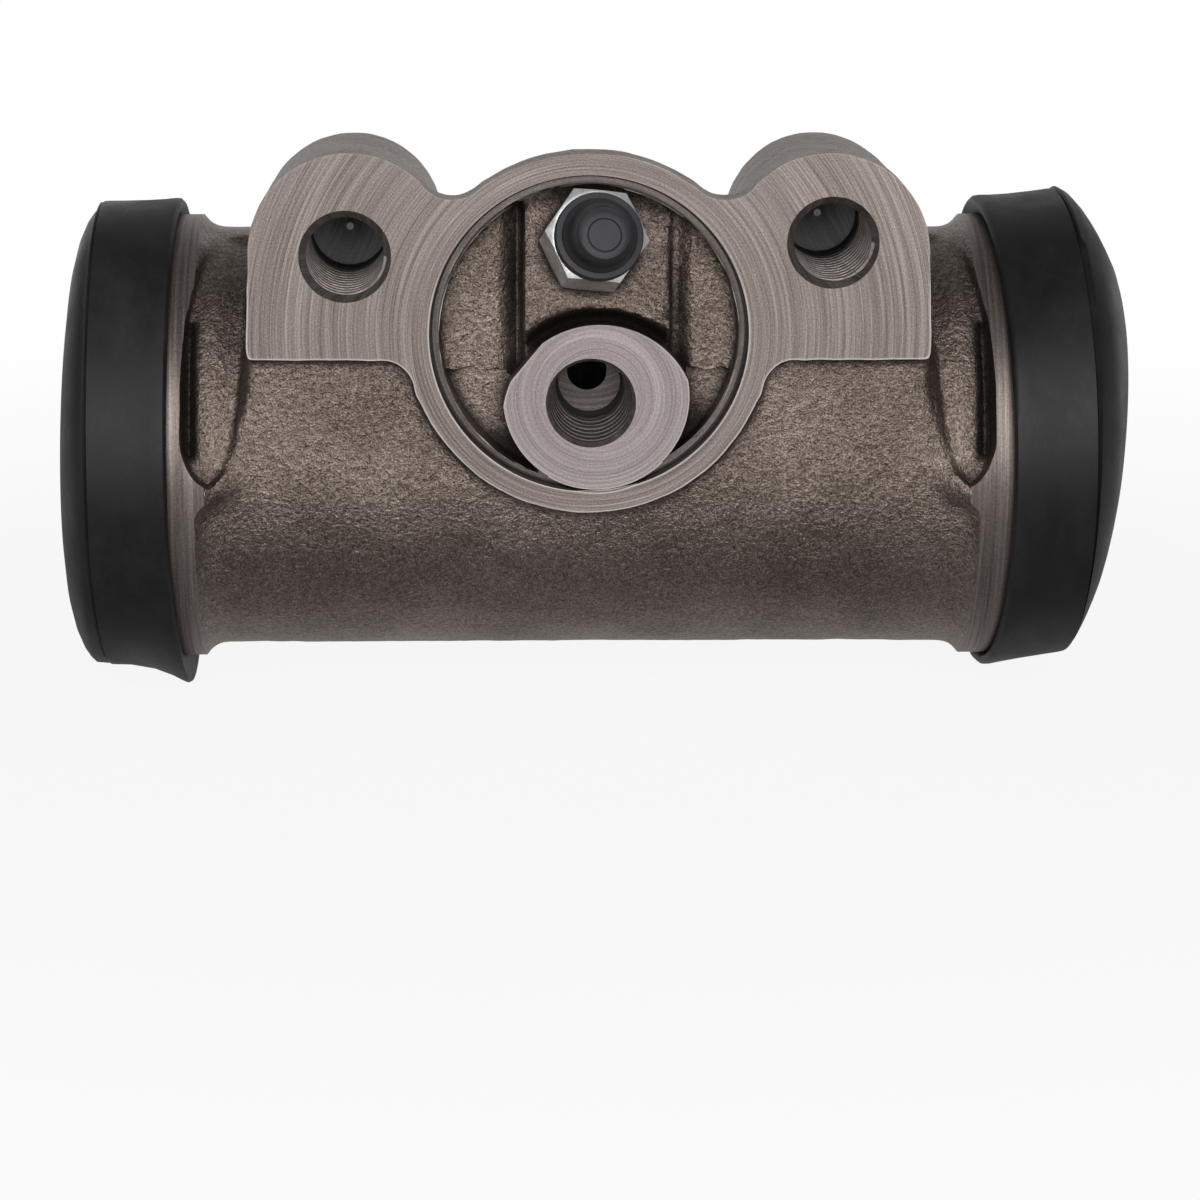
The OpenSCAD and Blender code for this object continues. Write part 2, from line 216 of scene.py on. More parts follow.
def fade(tree, value, low, high, start=0.0, end=1.0):
    """A smooth step from start to end as a value goes from low to high."""
    node = tree.nodes.new("ShaderNodeMapRange")
    node.interpolation_type = "SMOOTHSTEP"
    for name, number in (("From Min", low), ("From Max", high), ("To Min", start), ("To Max", end)):
        node.inputs[name].default_value = number
    tree.links.new(value, node.inputs["Value"])
    return node.outputs["Result"]


def ramp(tree, value, *stops):
    node = tree.nodes.new("ShaderNodeValToRGB")
    tree.links.new(value, node.inputs[0])
    while len(node.color_ramp.elements) < len(stops):
        node.color_ramp.elements.new(0.5)
    for element, (at, colour) in zip(node.color_ramp.elements, stops):
        element.position = at
        element.color = (*colour, 1)
    return node.outputs[0]


def blend_colours(tree, share, first, second, kind="MIX"):
    node = tree.nodes.new("ShaderNodeMix")
    node.data_type = "RGBA"
    node.blend_type = kind
    for socket, value in zip((node.inputs[0], node.inputs[6], node.inputs[7]), (share, first, second)):
        if isinstance(value, tuple):
            socket.default_value = (*value, 1)
        elif isinstance(value, (int, float)):
            socket.default_value = value
        else:
            tree.links.new(value, socket)
    return node.outputs[2]


def place_on(tree, centre=(0, 0, 0), turned=(0, 0, 0), scale=(1, 1, 1)):
    """Object coordinates about a centre in millimetres."""
    where = tree.nodes.new("ShaderNodeTexCoord")
    shift = tree.nodes.new("ShaderNodeMapping")
    shift.vector_type = "TEXTURE"
    shift.inputs["Location"].default_value = Vector(centre) * mm
    shift.inputs["Rotation"].default_value = turned
    shift.inputs["Scale"].default_value = scale
    tree.links.new(where.outputs["Object"], shift.inputs["Vector"])
    return shift.outputs[0]


def use_group(tree, group, place, **values):
    node = tree.nodes.new("ShaderNodeGroup")
    node.node_tree = group
    tree.links.new(place, node.inputs["Place"])
    for name, value in values.items():
        node.inputs[name].default_value = value
    return node.outputs


def bump(tree, shader, height, distance):
    node = tree.nodes.new("ShaderNodeBump")
    node.inputs["Distance"].default_value = distance
    tree.links.new(height, node.inputs["Height"])
    tree.links.new(node.outputs[0], shader.inputs["Normal"])


def near_edges(tree, distance, inside):
    """From 0 to 1: how close outer edges are, or with inside False how deep the corner is."""
    node = tree.nodes.new("ShaderNodeAmbientOcclusion")
    node.inside = inside
    node.samples = 12
    node.inputs["Distance"].default_value = distance * mm
    return calc(tree, "SUBTRACT", 1.0, node.outputs["AO"])


# The skin that the sand leaves: grains, pits and swells, as a tone and a height.
sand, given, wanted = new_group("sand cast skin", [("Place", "NodeSocketVector")], ["Tone", "Height"])
grain = noise(sand, given["Place"], 4700, 3, 0.62)
lumps = noise(sand, given["Place"], 1700, 2, 0.5)
swell = noise(sand, given["Place"], 300, 3, 0.55)
blotch = noise(sand, given["Place"], 75, 3, 0.55)
sand.links.new(mix_sum(sand, (grain, 0.60), (lumps, 0.22), (blotch, 0.18)), wanted["Tone"])
sand.links.new(mix_sum(sand, (grain, 0.6), (lumps, 1.0), (swell, 0.9)), wanted["Height"])

# Tool marks that run in circles about an axis: fine lines by distance, broken up along their length.
marks, given, wanted = new_group(
    "circular tool marks", [("Place", "NodeSocketVector"), ("Lines", "NodeSocketFloat")], ["Tone", "Height"])
parts = marks.nodes.new("ShaderNodeSeparateXYZ")
marks.links.new(given["Place"], parts.inputs[0])
flat_x, flat_z = parts.outputs["X"], parts.outputs["Z"]
squared_z = calc(marks, "MULTIPLY", flat_z, flat_z)
out = calc(marks, "SQRT", calc(marks, "MULTIPLY_ADD", flat_x, flat_x, squared_z))
across = calc(marks, "ADD", out, parts.outputs["Y"])
spread = marks.nodes.new("ShaderNodeCombineXYZ")
marks.links.new(calc(marks, "MULTIPLY", across, given["Lines"]), spread.inputs[0])
marks.links.new(calc(marks, "MULTIPLY", flat_x, 45), spread.inputs[1])
marks.links.new(calc(marks, "MULTIPLY", flat_z, 45), spread.inputs[2])
lines = noise(marks, spread.outputs[0], 1.0, 3, 0.7)
bands = noise(marks, spread.outputs[0], 0.23, 2, 0.6)
fleck = noise(marks, given["Place"], 4800, 2, 0.5)
marks.links.new(mix_sum(marks, (lines, 0.55), (bands, 0.25), (fleck, 0.30)), wanted["Tone"])
marks.links.new(mix_sum(marks, (lines, 0.8), (fleck, 0.25)), wanted["Height"])

sand_skin, tree, shader = new_material("sand cast iron")
place = place_on(tree)
skin = use_group(tree, sand, place)
parts = tree.nodes.new("ShaderNodeSeparateXYZ")
tree.links.new(place, parts.inputs[0])
colour = ramp(
    tree, skin["Tone"], (0.37, (0.074, 0.055, 0.044)), (0.50, (0.190, 0.148, 0.126)),
    (0.64, (0.415, 0.346, 0.308)))
# Painted shade: the skin turns near black in corners and hollows, by how closely they are shut in, and its
# roughness follows.
painted_shade = fade(tree, near_edges(tree, 3.0, False), 0.17, 0.58, 0.0, 0.92)
# Painted shade: a dark band down each trench beside its land, fading out above, below and towards the back.
trench_shade = fade(tree, calc(tree, "ABSOLUTE", parts.outputs["X"]), 0.0473, 0.0483, 0.0, 0.8)
for way, start, end, from_share, to_share in (
        ("Z", -0.020, -0.010, 0.0, 1.0), ("Z", 0.0, 0.011, 1.0, 0.0), ("Y", 0.014, 0.020, 1.0, 0.0)):
    within = fade(tree, parts.outputs[way], start, end, from_share, to_share)
    trench_shade = calc(tree, "MULTIPLY", trench_shade, within)
painted_shade = calc(tree, "MAXIMUM", painted_shade, trench_shade)
tree.links.new(blend_colours(tree, painted_shade, colour, (0.016, 0.013, 0.012)), shader.inputs["Base Color"])
tree.links.new(fade(tree, painted_shade, 0.0, 1.0, 0.40, 0.75), shader.inputs["Roughness"])
shader.inputs["Metallic"].default_value = 0.9
shader.inputs["Specular IOR Level"].default_value = 0.2
bump(tree, shader, skin["Height"], 0.00021)


def machined(name, dark, mid, light, lines, centre=(0, 0, 0), turned=(0, 0, 0), burr_highlight=0.0, metal=0.45,
             shade_reach=1.8, deep=None, deep_shade_colour=(0.022, 0.019, 0.018)):
    """Cut metal: tool marks about a centre, a painted highlight on its lower edges where a burr catches the
    light, painted shade in corners and deeper in holes.
    """
    material, tree, shader = new_material(name)
    place = place_on(tree, centre, turned)
    tool = use_group(tree, marks, place, Lines=lines)
    colour = ramp(tree, tool["Tone"], (0.40, dark), (0.55, mid), (0.70, light))
    parts = tree.nodes.new("ShaderNodeSeparateXYZ")
    tree.links.new(place, parts.inputs[0])
    # A painted highlight: a pale band along outer edges, only below the centre, where a burr would catch the
    # light from above.
    if burr_highlight:
        low = fade(tree, parts.outputs["Z"], 0.002, 0.010, 1.0, 0.15)
        lip = fade(tree, near_edges(tree, 0.5, True), 0.15, 0.5, 0.0, burr_highlight)
        colour = blend_colours(tree, calc(tree, "MULTIPLY", lip, low), colour, (0.62, 0.57, 0.53))
    # Painted shade: near black in corners and hollows, by how closely they are shut in within the given
    # reach.
    corner_shade = fade(tree, near_edges(tree, shade_reach, False), 0.30, 0.70, 0.0, 0.85)
    colour = blend_colours(tree, corner_shade, colour, (0.022, 0.019, 0.018))
    # Painted shade: darker further down the hole, between the two given depths.
    if deep:
        depth_shade = fade(tree, parts.outputs["Y"], deep[0] * mm, deep[1] * mm)
        colour = blend_colours(tree, depth_shade, colour, deep_shade_colour)
    tree.links.new(colour, shader.inputs["Base Color"])
    shader.inputs["Roughness"].default_value = 0.46
    shader.inputs["Metallic"].default_value = metal
    shader.inputs["Specular IOR Level"].default_value = 0.25
    bump(tree, shader, tool["Height"], 0.00003)
    return material


along_bore = (0, 0, math.pi / 2)
bore_axis = (0, axis_y, axis_z)
milled = machined(
    "milled iron", (0.10, 0.080, 0.072), (0.24, 0.199, 0.18), (0.43, 0.37, 0.342), 5200, burr_highlight=0.9)
grooved = machined(
    "grooved iron", (0.09, 0.075, 0.069), (0.17, 0.145, 0.133), (0.27, 0.238, 0.222), 2600, shade_reach=0.7)
spot_faced = machined(
    "spot faced iron", (0.19, 0.16, 0.157), (0.325, 0.28, 0.272), (0.47, 0.42, 0.415), 4600,
    (inlet_x, 0, inlet_z), burr_highlight=0.7)
turned_land = machined(
    "turned iron", (0.10, 0.082, 0.074), (0.20, 0.168, 0.154), (0.33, 0.285, 0.265), 3200, bore_axis,
    along_bore, metal=0.7)
threaded = machined(
    "tapped iron", (0.15, 0.122, 0.11), (0.32, 0.275, 0.255), (0.52, 0.46, 0.435), 2600, metal=0.3, shade_reach=0.9,
    deep=(17.5, 20.5))
# The drill point at the bottom of each bolt hole gets a far darker iron than the tapped wall: painted shade
# deep in the hole.
drilled = machined(
    "drilled iron", (0.05, 0.048, 0.048), (0.085, 0.082, 0.082), (0.13, 0.127, 0.127), 2600, metal=0.3)
# A darker copy of the tapped iron for the inlet port and the countersinks: painted shade inside the holes.
port_iron = machined(
    "tapped port iron", (0.048, 0.041, 0.037), (0.088, 0.075, 0.069), (0.16, 0.142, 0.134), 2600, metal=0.4,
    shade_reach=0.5, deep=(8.8, 9.4), deep_shade_colour=(0.012, 0.011, 0.011))
bored = machined(
    "honed iron", (0.16, 0.15, 0.14), (0.24, 0.225, 0.215), (0.33, 0.31, 0.30), 2600, bore_axis, along_bore)

# Everything the pattern maker would build up in wood, before any of it is machined.
body = [bar((-50, axis_y, axis_z), (50, axis_y, axis_z), tube_r)]
body.append(bar((0, -1.5, 0), (0, 5, 0), ring_r))
body.append(bar((0, 5, 0), (0, 19, 0), ring_r, ring_r - 8.5))
for side in (-1, 1):
    flange = spun([
        (22, 44.0), (25.9, 44.4), (26.1, 45.4), (26.5, 46.3), (27.0, 46.9), (27.8, 47.35),
        (land_r + 0.7, 47.9), (land_r + 0.7, 57.6), (22, 57.6)])
    body.append(on_bore(flange, side))
    boss_root = (side * boss_x, axis_y, boss_z)
    body.append(bar((side * boss_x, -1.5, boss_z), boss_root, boss_r + 0.05, boss_r - 0.9))
    ear = block((17.5, -1.5, ear_low), (ear_out, axis_y, boss_z))
    for point in ear.data.vertices:
        if point.co.x > 0.03:
            point.co.x -= 0.0005 * (point.co.z > 0) + 0.0006 * (point.co.y > 0.01)
        point.co.x *= side
    pick(ear)
    bpy.ops.object.mode_set(mode="EDIT")
    bpy.ops.mesh.select_all(action="SELECT")
    bpy.ops.mesh.normals_make_consistent(inside=False)
    bpy.ops.object.mode_set(mode="OBJECT")
    body.append(ear)
    body.append(block((side * 16.5 - 3.5, -1.5, 8), (side * 16.5 + 3.5, 5, 18.2)))
    body.append(block((side * 21.5 - 4, -1.5, -7), (side * 21.5 + 4, 2.6, 0)))
    body.append(bar((side * 51, 2.4, -19.0), (side * 42.6, 4.2, -18.2), 4.5, 2.6))
    body.append(bar((side * 51, 3.2, -21.8), (side * 45.6, 4.8, -20.4), 4.3, 2.6))
web = block((-45.7, web_y, axis_z - 1.5), (45.7, axis_y - 2, ear_low + 1))
pick(web)
bpy.ops.object.mode_set(mode="EDIT")
bpy.ops.mesh.select_all(action="SELECT")
bpy.ops.mesh.subdivide(number_cuts=14)
bpy.ops.object.mode_set(mode="OBJECT")
hollow_r = 21.8
for point in web.data.vertices:
    if abs(point.co.x) > 0.0456:
        drop = max(0.0, min(13.6, -5 - point.co.z / mm))
        half_width = ear_out + hollow_r - math.sqrt(hollow_r ** 2 - drop ** 2)
        point.co.x = math.copysign(half_width * mm, point.co.x)
body.append(web)
casting = weld(body)
casting.name = "cast_cylinder"
skin_grid = 0.5
apply_modifier(casting, "REMESH", mode="VOXEL", voxel_size=skin_grid * mm)

# Hollows that the sand leaves: the saddles, the toes of the ears and the recess inside the ring.
saddle_r = 4.5
reach = ring_r + saddle_r
apart = math.hypot(boss_x, boss_z)
along = (reach ** 2 - (boss_r + saddle_r) ** 2 + apart ** 2) / (2 * apart)
across = math.sqrt(reach ** 2 - along ** 2)
saddle_x = (along * boss_x - across * boss_z) / apart
saddle_z = (along * boss_z + across * boss_x) / apart
toe_z = ear_low - toe_r
toe_x = math.sqrt((ring_r + toe_r) ** 2 - toe_z ** 2)
hollows = []
for side in (-1, 1):
    hollows.append(bar((side * saddle_x, -3, saddle_z), (side * saddle_x, 5.4, saddle_z), saddle_r))
    hollows.append(bar((side * toe_x, -3, toe_z), (side * toe_x, web_y, toe_z), toe_r))
hollows.append(bar((0, -3, 0), (0, floor_y, 0), ledge_r))
combine(casting, weld(hollows))

# A trench between each ear and its land, deepest along the land and running out in a point below.
for side, shift in ((-1, 0.5), (1, 0.0)):
    wall = [
        (46.2, -18.9), (45.3, -18.2), (44.4, -17.1), (43.4, -14.8), (42.75, -12.2), (42.3, -9), (42.0, -6),
        (41.8, -4), (41.3, -1.5)]
    wall = [(side * (x - shift), z) for x, z in wall]
    mouth = [
        (41.0, 1), (40.95, 9), (45.2, 9), (46.4, 7), (47.5, 4), (48.4, 0), (48.9, -6), (49.2, -11.5),
        (48.9, -14.0), (48.2, -16.2), (47.3, -17.8)]
    mouth = [(side * x, z) for x, z in mouth]
    channel = [
        (27.3, 40.0), (27.2, 42.0), (27.6, 43.5), (28.0, 45.0), (27.9, 46.4), (27.6, 47.6), (28.2, 48.3),
        (30.6, 49.0), (36, 49.1), (36, 40.0)]
    corner = [
        (31.6, 47.0), (30.2, 47.5), (29.2, 47.9), (29.2, 48.3), (30.4, 48.6), (34.5, 49.0), (40, 49.1),
        (40, 47.0)]
    for section, sink in ((channel, (2.42, -1.4)), (corner, (5.64, -2.05))):
        scoop = on_bore(spun(section), side)
        scoop.data.transform(Matrix.Translation(Vector((0, *sink)) * mm))
        combine(scoop, prism(wall + mouth, -3, 24), "INTERSECT")
        combine(casting, scoop)

# A groove down each side of the place for the bleeder pad.
for inner, outer in ((-7.85, -10.8), (9.7, 12.6)):
    gutter = block((min(inner, outer), 0, -6), (max(inner, outer), floor_y + 2.2, 17))
    for point in gutter.data.vertices:
        if point.co.y > 0.001 and abs(point.co.x - outer * mm) < 0.0001:
            point.co.y = (floor_y - 0.2) * mm
    combine(gutter, bar((0, -3, 0), (0, 9, 0), ledge_r - 0.15), "INTERSECT")
    combine(casting, gutter)

# The sloping bleeder pad stands up out of the recess.
pitch, yaw = math.radians(20), math.radians(6.5)
bleed_out = Vector((math.sin(yaw) * math.cos(pitch), -math.cos(yaw) * math.cos(pitch), math.sin(pitch)))
bleed_right = Vector((math.cos(yaw), math.sin(yaw), 0))
bleed_seat = Vector((0.16, 3.6, 10.0))
bleed_place = Matrix((bleed_right, bleed_out.cross(bleed_right), bleed_out)).transposed().to_4x4()
bleed_place.translation = bleed_seat * mm
brow_z = -10.6
pad = prism([(-7.85, -2), (9.7, -2), (9.7, 13.6), (8.2, 16), (-6.2, 16), (-7.85, 13.6)], 0.85, 8)
slope = block((-12, -9, 0), (12, 12, 12))
slope.data.transform(bleed_place)
combine(pad, slope)
combine(pad, bar((1.2, -6, brow_z), (1.2, 9, brow_z), 17.2, 9.8))
apply_modifier(pad, "BEVEL", width=0.35 * mm, segments=2, limit_method="ANGLE", angle_limit=math.radians(35))
combine(casting, pad, "UNION")
pocket = block((-8.0, -1.5, 0), (9.55, 12, 9))
pocket.data.transform(bleed_place)
combine(pocket, bar((0, -3, 0), (0, 12, 0), ledge_r), "INTERSECT")
combine(casting, pocket)

# The sand rounds every edge, most of all in the trenches, and leaves swells and ripples.
apply_modifier(casting, "REMESH", mode="VOXEL", voxel_size=skin_grid * mm)
apply_modifier(casting, "SMOOTH", factor=0.5, iterations=5)
low, high = Vector((41.0, 2.5, -20)) * mm, Vector((48.5, 16, 8)) * mm
in_trench = [
    point.index for point in casting.data.vertices
    if low.x < abs(point.co.x) < high.x and low.y < point.co.y < high.y and low.z < point.co.z < high.z]
trench = casting.vertex_groups.new(name="trench")
trench.add(in_trench, 1.0, "REPLACE")
apply_modifier(casting, "SMOOTH", factor=0.5, iterations=6, vertex_group=trench.name)
casting.vertex_groups.clear()
for name, size, strength in (("mould swell", 0.009, 0.30), ("sand ripple", 0.0028, 0.16)):
    clouds = bpy.data.textures.new(name, "CLOUDS")
    clouds.noise_scale = size
    clouds.noise_depth = 2
    apply_modifier(casting, "DISPLACE", texture=clouds, strength=strength * mm, mid_level=0.5)
give(casting, sand_skin)

# In the recess a ragged step where two mould halves met, and the inlet boss below the pad's ditch.
step_line = [(x, -4.8 + 0.22 * math.sin(2.1 * x) + 0.14 * math.sin(5.3 * x)) for x in range(-19, 20)]
step = prism(step_line + [(19, -20), (-19, -20)], 0, floor_y + 0.45)
combine(step, bar((0, -3, 0), (0, 9, 0), ledge_r - 0.15), "INTERSECT")
combine(casting, give(step, sand_skin))
for more, operation, finish, near, far in (
        (0.0, "UNION", sand_skin, -0.4, 8), (0.15, "DIFFERENCE", spot_faced, -2, spot_y)):
    inlet = bar((inlet_x, near, inlet_z), (inlet_x, far, inlet_z), 11.1 + more, 11.4 + more, sides=160)
    combine(inlet, bar((1.3, -6, brow_z), (1.3, 9, brow_z), 11.65 + more, sides=160), "INTERSECT")
    flat_x = -5.5 - more
    flat = [(flat_x, -1.1), (-10.3 - more, -6.95), (-15, -6.95), (-15, 3), (flat_x, 3)]
    combine(inlet, prism(flat, -6, 9))
    combine(casting, give(inlet, finish), operation)

# Milling: one plane over ring and ears. Then the pilot groove, the spot face and the turned lands.
combine(casting, give(block((-70, -20, -40), (70, 0, 40)), milled))
groove = give(bar((0, -1, 0), (0, ledge_y, 0), pilot_r, sides=180), grooved)
combine(groove, bar((0, -2, 0), (0, ledge_y + 1, 0), ledge_r, sides=180))
combine(groove, bar((inlet_x, -2, inlet_z), (inlet_x, ledge_y + 1, inlet_z), spot_r + 0.05))
combine(casting, groove)
relief = give(bar((0, -1, 0), (0, ledge_y + 0.8, 0), pilot_r, sides=180), grooved)
combine(relief, bar((0, -2, 0), (0, ledge_y + 2, 0), pilot_r - 0.4, sides=180))
combine(relief, bar((inlet_x, -2, inlet_z), (inlet_x, ledge_y + 2, inlet_z), spot_r + 0.05))
combine(casting, relief)
for side in (-1, 1):
    for low, high, inner in ((46.0, 60, land_r), (52.1, 54.7, land_r - 1.2)):
        lathe = bar((side * low, axis_y, axis_z), (side * high, axis_y, axis_z), 33, sides=160)
        core = bar((side * (low - 1), axis_y, axis_z), (side * (high + 1), axis_y, axis_z), inner, sides=160)
        combine(give(lathe, turned_land), core)
        combine(casting, lathe)
    end = bar((side * half_length, axis_y, axis_z), (side * 66, axis_y, axis_z), 40)
    combine(casting, give(end, turned_land))
    throat, lip = (side * (half_length - 1), axis_y, axis_z), (side * (half_length + 1), axis_y, axis_z)
    combine(casting, give(bar(throat, lip, bore_r, bore_r + 2), bored))
combine(casting, give(bar((-62, axis_y, axis_z), (62, axis_y, axis_z), bore_r, sides=160), bored))


def tapped(x, depth, z, mouth, core, crest, pitch, face=0.0):
    """The tools for a countersunk hole with a thread that winds down it."""
    hole = bar((x, face - 2, z), (x, face + depth, z), core)
    web = bar((x, face + depth - 0.01, z), (x, face + depth + 0.25 * core, z), core, 0.4)
    sink = bar((x, face - 0.9, z), (x, face + mouth - core, z), mouth + 0.9, core)
    bpy.ops.object.select_all(action="DESELECT")
    bpy.ops.mesh.primitive_plane_add(size=1)
    ridge = bpy.context.object
    section = ((core - 0.25, -0.30), (crest, -0.04), (core - 0.25, 0.30), (crest, 0.04))
    for point, (r, d) in zip(ridge.data.vertices, section):
        point.co = Vector((r, 0, d * pitch)) * mm
    apply_modifier(
        ridge, "SCREW", axis="Z", screw_offset=pitch * mm, angle=2 * math.pi,
        iterations=int((depth - 2) / pitch), steps=40, render_steps=40, use_merge_vertices=False)
    pick(ridge)
    bpy.ops.object.mode_set(mode="EDIT")
    bpy.ops.mesh.select_all(action="SELECT")
    bpy.ops.mesh.remove_doubles(threshold=1e-6)
    bpy.ops.mesh.fill_holes(sides=0)
    bpy.ops.mesh.normals_make_consistent(inside=False)
    bpy.ops.object.mode_set(mode="OBJECT")
    into = Matrix.Rotation(-math.pi / 2, 4, "X")
    ridge.data.transform(Matrix.Translation(Vector((x, face + 0.8, z)) * mm) @ into)
    return hole, web, sink, ridge


bolt_holes = ((-28.95, 9.35), (28.95, 10.98))
bolt_depth, bolt_mouth, bolt_core, bolt_crest, bolt_pitch = 24.2, 5.5, 4.62, 5.4, 1.81
tip_in, tip_end, tip_r = 25.2, 25.42, 0.46
for x, z in bolt_holes:
    hole, web, sink, ridge = tapped(x, bolt_depth, z, bolt_mouth, bolt_core, bolt_crest, bolt_pitch)
    for tool, finish in ((hole, threaded), (web, drilled), (sink, port_iron), (ridge, threaded)):
        combine(casting, give(tool, finish))
    # A small dot of lighter spot-faced iron at each drill tip: a painted highlight in the dark hole bottom.
    combine(casting, give(bar((x, tip_in, z), (x, tip_end, z), tip_r), spot_faced))
port_x, port_z = 0.26, -8.4
port_in, port_floor, port_mouth, port_end, port_rise = 7.2, 8.7, 5.05, 4.1, 1.1
hole, web, sink, ridge = tapped(port_x, 8.2, port_z, 5.4, 4.95, 5.4, 0.9, spot_y)
for tool in (hole, web):
    bpy.data.objects.remove(tool, do_unlink=True)
hole = bar((port_x, spot_y, port_z), (port_x, port_in, port_z), port_mouth)
for tool in (hole, ridge):
    for point in tool.data.vertices:
        way = (point.co.y / mm - spot_y) / (port_in - spot_y)
        narrow = 1 - (1 - port_end / port_mouth) * way
        point.co.x = (port_x + (point.co.x / mm - port_x) * narrow) * mm
        point.co.z = (port_z + (point.co.z / mm - port_z) * narrow + port_rise * way) * mm
floor_z = port_z + port_rise + 0.2
floor = bar((port_x, port_in - 0.05, floor_z), (port_x, port_floor + 0.8, floor_z), 4.6)
combine(floor, bar((port_x, port_floor, floor_z), (port_x, port_floor + 2, floor_z), 3.75))
passage = bar((port_x - 0.3, 3, floor_z + 1.25), (port_x - 0.3, 26, floor_z + 1.25), 2.4)
for tool in (hole, sink, ridge, floor, passage):
    combine(casting, give(tool, port_iron))

# Clear room for the bleeder's hexagon, and the hole for its shank. Then fewer faces where the skin is even.
wrench_r, shank_hole_r, shank_hole_depth = 6.6, 4.76, 12.5
combine(casting, give(bar(bleed_seat + bleed_out * 0.05, bleed_seat + bleed_out * 9, wrench_r), sand_skin))
well = bleed_seat - bleed_out * shank_hole_depth
combine(casting, give(bar(bleed_seat + bleed_out * 6, well, shank_hole_r), threaded))
apply_modifier(casting, "DECIMATE", decimate_type="COLLAPSE", ratio=0.68)
pick(casting)
bpy.ops.object.shade_smooth_by_angle(angle=math.radians(32))
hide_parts("cylinder_body")
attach(casting, "cylinder")

# Boots
# Two black rubber boots, moulded with a bead inside that snaps into the groove of the land.
# Each was pushed on by hand, so its rim lies a little askew: the left one's lip turns out at the bottom.
rim, edge = 49.6, 60.1
boot_r, boot_in, bead_r, eye_r = 29.1, 27.66, 26.5, 6.5

bloom, given, wanted = new_group("rubber bloom", [("Place", "NodeSocketVector")], ["Tone", "Dust", "Height"])
haze = noise(bloom, given["Place"], 45, 4, 0.6, 0.6)
rub = noise(bloom, given["Place"], 260, 3, 0.6)
fine = noise(bloom, given["Place"], 2400, 2, 0.5)
cells = bloom.nodes.new("ShaderNodeTexVoronoi")
cells.inputs["Scale"].default_value = 170
bloom.links.new(given["Place"], cells.inputs["Vector"])
pull = bloom.nodes.new("ShaderNodeSeparateColor")
bloom.links.new(cells.outputs["Color"], pull.inputs[0])
speck = fade(bloom, cells.outputs["Distance"], 0.025, 0.06, 1.0, 0.0)
rare = fade(bloom, pull.outputs["Red"], 0.86, 0.88)
bloom.links.new(mix_sum(bloom, (haze, 0.62), (rub, 0.28), (fine, 0.10)), wanted["Tone"])
bloom.links.new(calc(bloom, "MULTIPLY", speck, rare), wanted["Dust"])
bloom.links.new(mix_sum(bloom, (rub, 0.6), (fine, 0.25)), wanted["Height"])


def rubber(name, dark, mid, light, rough, stretch=(1, 1, 1)):
    """Black rubber with a grey bloom, shiny where it was handled, and specks of dust."""
    material, tree, shader = new_material(name)
    film = use_group(tree, bloom, place_on(tree, scale=stretch))
    colour = ramp(tree, film["Tone"], (0.38, dark), (0.52, mid), (0.68, light))
    colour = blend_colours(tree, film["Dust"], colour, (0.45, 0.44, 0.43))
    tree.links.new(colour, shader.inputs["Base Color"])
    worn = fade(tree, film["Tone"], 0.36, 0.66, rough - 0.08, rough + 0.12)
    tree.links.new(worn, shader.inputs["Roughness"])
    shader.inputs["Specular IOR Level"].default_value = 0.28
    bump(tree, shader, film["Height"], 0.00008)
    return material


boot_rubber = rubber(
    "boot rubber", (0.0085, 0.0080, 0.0082), (0.0145, 0.0135, 0.0138), (0.028, 0.026, 0.026), 0.50,
    (1.0, 1.6, 1.6))


def boot(name, shoulder):
    """A spun boot. Its shoulder points run from the outer edge over the dome to the eye."""
    thick = 1.9
    outside = [
        (boot_in, rim + 0.6), (28.2, rim), (28.8, rim + 0.05), (boot_r + 0.05, rim + 0.4),
        (boot_r + 0.1, rim + 1.0), (boot_r, rim + 2.2), (boot_r - 0.1, rim + 4.5), (boot_r - 0.12, rim + 7.5),
        (boot_r - 0.1, edge - 0.9), (boot_r - 0.12, edge - 0.5), (boot_r - 0.42, edge - 0.3)]
    eye = [(eye_r + 0.7, shoulder[-1][1] - 0.1), (eye_r, shoulder[-1][1] - 0.7),
           (eye_r, shoulder[-1][1] - 2.4), (eye_r + 0.6, shoulder[-1][1] - 3.0)]
    dome = [(r - 0.35 * thick, x - thick) for r, x in reversed(shoulder) if r < 25]
    inside = [
        (25.6, edge - 0.9), (26.9, edge - 1.9), (boot_in - 0.2, half_length + 0.5),
        (boot_in, half_length - 0.2), (boot_in, 54.9), (bead_r + 0.25, 54.55), (bead_r + 0.25, 52.25),
        (boot_in, 51.9)]
    piece = spun(outside + shoulder + eye + dome + inside, 120)
    piece.name = name
    return piece


def settle(piece, side, change):
    """Moves each point of a boot by a rule of its turn from the front, its way along and its radius."""
    for point in piece.data.vertices:
        along = abs(point.co.x) / mm
        back, high = point.co.y / mm - axis_y, point.co.z / mm - axis_z
        radius = math.hypot(back, high)
        frontness, upness = -back / radius, high / radius
        way = min(1.0, max(0.0, (along - rim) / (edge - rim)))
        if radius < 27.8 and 51.5 < along < 57.2:
            continue
        step, grow, lift = change(frontness, upness, way, along, radius)
        point.co.x += side * step * mm
        scale = (radius + grow) / radius
        point.co.y = (axis_y + back * scale) * mm
        point.co.z = (axis_z + high * scale + lift) * mm
    pick(piece)
    bpy.ops.object.shade_smooth_by_angle(angle=math.radians(40))


